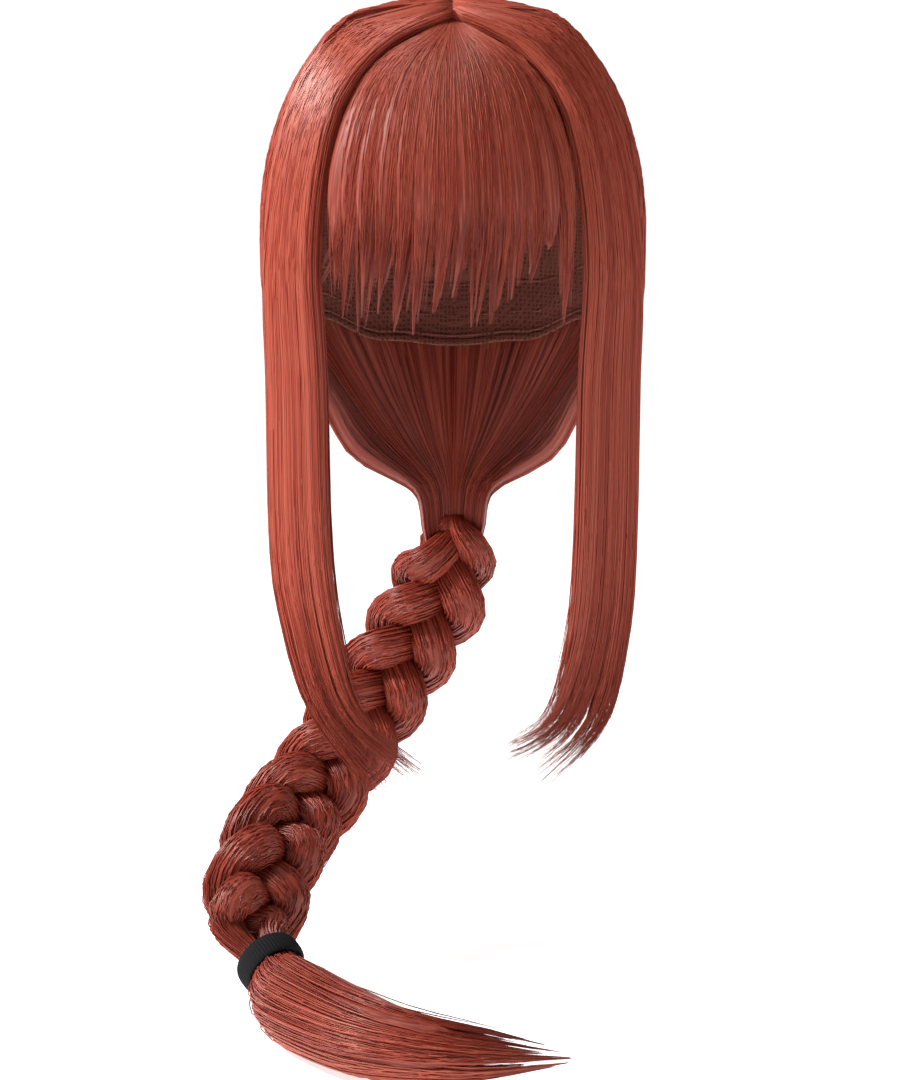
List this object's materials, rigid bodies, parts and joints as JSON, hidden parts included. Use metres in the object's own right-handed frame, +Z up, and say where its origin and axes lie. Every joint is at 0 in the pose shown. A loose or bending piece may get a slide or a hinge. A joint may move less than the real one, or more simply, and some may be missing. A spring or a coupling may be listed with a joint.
{
  "type": "cosplay wig",
  "caption": "Copper-brown costume wig on a cloth cap: centre parting, straight fringe, long side locks and a low braid drawn to one side, ending in a tied tail.",
  "frame": {"origin": "top of the inside of the cap, where the crown of the head sits", "axes": "+Z up, the face looks along -Y, +X to the wearer's left, which is the right of a view of the face"},
  "size_m": [0.1949, 0.2685, 0.4432],
  "materials": {
    "hair": "soft sheen of straight synthetic hair fibres, copper brown",
    "cap_cloth": "matt knitted net cloth in the hair's colour",
    "elastic": "matt black covered elastic"
  },
  "bodies": {
    "root": {"cap": "cap_cloth", "crown_hair_left": "hair", "crown_hair_right": "hair", "fringe": "hair", "side_lock_left": "hair", "side_lock_right": "hair", "braid_strand_1": "hair", "braid_strand_2": "hair", "braid_strand_3": "hair", "hair_tie": "elastic", "braid_tail": "hair"}
  },
  "joints": []
}
